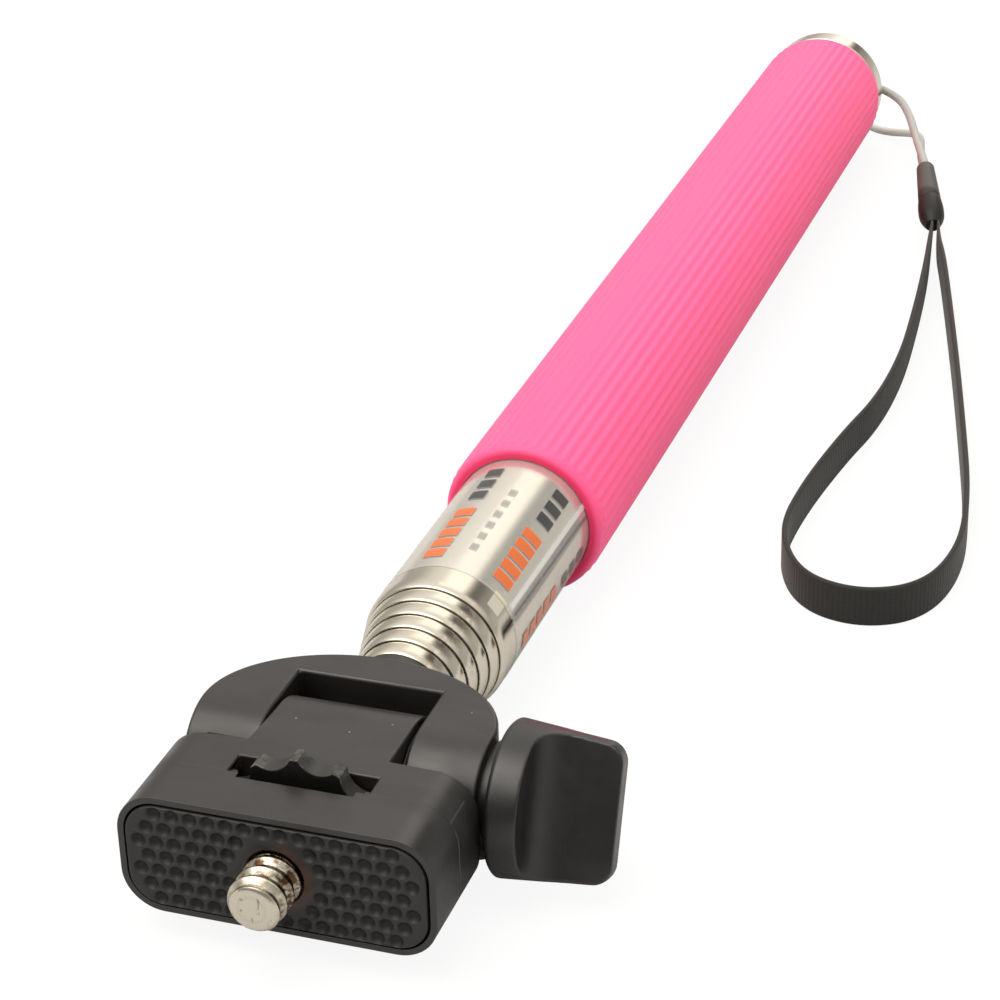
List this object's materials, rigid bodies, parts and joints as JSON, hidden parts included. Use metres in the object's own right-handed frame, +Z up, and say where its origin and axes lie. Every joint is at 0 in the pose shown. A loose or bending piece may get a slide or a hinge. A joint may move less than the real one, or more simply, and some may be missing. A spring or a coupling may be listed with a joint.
{
  "type": "telescopic selfie stick",
  "caption": "Collapsed telescopic selfie stick with a ribbed pink grip, a tilting camera-screw head, a side clamp knob, a finger wheel and a corded wrist strap.",
  "frame": {"origin": "on the camera screw's axis, at the front face of the rubber pad that the camera sits on", "axes": "+Y along the stick from the head to the wrist strap, +X towards the clamp knob, +Z up from the table that the stick lies on"},
  "size_m": [0.0711, 0.2763, 0.0214],
  "materials": {
    "grip_rubber": "soft satin, fine lengthwise ribs",
    "clear_film": "clear glossy film with faint plain bars",
    "nickel": "warm nickel plating, polished",
    "sleeve_plastic": "smooth low-friction plastic",
    "head_plastic": "dark grey, fine matte grain",
    "knob_plastic": "dark grey, fine matte grain",
    "wheel_plastic": "worn dark grey",
    "pad_rubber": "soft, small round dimples",
    "steel": "zinc-plated",
    "screw_nickel": "nickel plating, brown tarnish at the root",
    "cord": "light grey elastic cord, slightly translucent",
    "ferrule_light": "satin grey",
    "ferrule_dark": "satin dark grey",
    "webbing": "flat woven, dark grey"
  },
  "bodies": {
    "grip": {"tube_1": "nickel", "label_film": "clear_film", "grip_sleeve": "grip_rubber", "end_cap": "nickel", "strap_cord_upper": "cord", "strap_cord_lower": "cord", "strap_ferrule_cap": "ferrule_light", "strap_ferrule_body": "ferrule_dark", "strap_webbing": "webbing"},
    "swivel_sleeve": {"friction_sleeve_2": "sleeve_plastic"},
    "section_2": {"tube_2": "nickel"},
    "section_3": {"tube_3": "nickel", "friction_sleeve_3": "sleeve_plastic"},
    "section_4": {"tube_4": "nickel", "friction_sleeve_4": "sleeve_plastic"},
    "section_5": {"tube_5": "nickel", "friction_sleeve_5": "sleeve_plastic"},
    "section_6": {"tube_6": "nickel", "friction_sleeve_6": "sleeve_plastic"},
    "section_7": {"tube_7": "nickel", "friction_sleeve_7": "sleeve_plastic", "yoke": "head_plastic", "yoke_pin": "steel", "lock_nut": "steel", "knob_washer": "knob_plastic", "friction_washer_left": "sleeve_plastic", "friction_washer_right": "sleeve_plastic"},
    "head": {"head_front_shell": "head_plastic", "head_rear_shell": "head_plastic", "rubber_pad": "pad_rubber", "shell_screws": "steel"},
    "knob": {"tilt_knob": "knob_plastic", "pivot_bolt": "steel"},
    "screw": {"camera_screw": "screw_nickel", "thumbwheel": "wheel_plastic"}
  },
  "joints": [
    {"name": "slide_2", "type": "slide", "parent": "grip", "child": "swivel_sleeve", "axis": [0, -1, 0], "range_m": [0, 0.14]},
    {"name": "stick_swivel", "type": "hinge", "parent": "swivel_sleeve", "child": "section_2", "pos_m": [0, 0.2, 0], "axis": [0, -1, 0], "continuous": true},
    {"name": "slide_3", "type": "slide", "parent": "section_2", "child": "section_3", "axis": [0, -1, 0], "range_m": [0, 0.14]},
    {"name": "slide_4", "type": "slide", "parent": "section_3", "child": "section_4", "axis": [0, -1, 0], "range_m": [0, 0.14]},
    {"name": "slide_5", "type": "slide", "parent": "section_4", "child": "section_5", "axis": [0, -1, 0], "range_m": [0, 0.14]},
    {"name": "slide_6", "type": "slide", "parent": "section_5", "child": "section_6", "axis": [0, -1, 0], "range_m": [0, 0.14]},
    {"name": "slide_7", "type": "slide", "parent": "section_6", "child": "section_7", "axis": [0, -1, 0], "range_m": [0, 0.14]},
    {"name": "head_tilt", "type": "hinge", "parent": "section_7", "child": "head", "pos_m": [0, 0.02125, 0], "axis": [1, 0, 0], "range_deg": [-90, 90]},
    {"name": "knob_turn", "type": "hinge", "parent": "section_7", "child": "knob", "pos_m": [0, 0.02125, 0], "axis": [1, 0, 0], "continuous": true},
    {"name": "screw_turn", "type": "hinge", "parent": "head", "child": "screw", "pos_m": [0, 0, 0], "axis": [0, -1, 0], "continuous": true}
  ]
}
